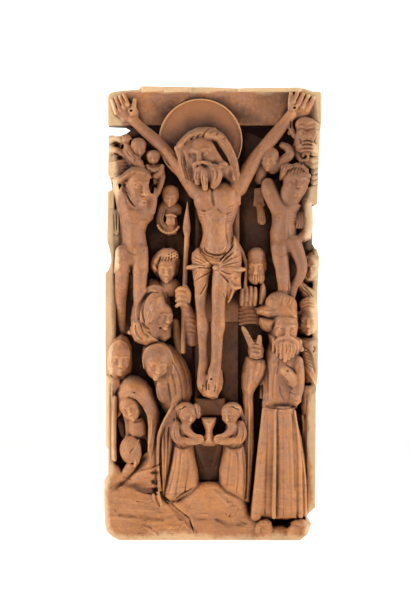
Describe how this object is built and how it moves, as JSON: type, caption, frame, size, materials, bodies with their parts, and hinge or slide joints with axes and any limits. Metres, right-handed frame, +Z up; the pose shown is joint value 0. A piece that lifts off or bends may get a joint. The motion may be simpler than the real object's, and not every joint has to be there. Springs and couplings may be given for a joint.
{
  "type": "alabaster crucifixion relief",
  "caption": "Upright slab of carved alabaster in deep relief: a crucifixion under a broad cross beam, crowded with onlookers and angels.",
  "frame": {"origin": "centre of the footprint on the surface that the slab stands on", "axes": "+Z up along the slab's height, +Y out of the flat back, so the carving faces -Y"},
  "size_m": [0.262, 0.072, 0.546],
  "materials": {
    "alabaster": "warm brown waxy patina, worn pale on the edges, dark in the recesses"
  },
  "bodies": {
    "root": {"crucifixion_relief": "alabaster"}
  },
  "joints": []
}
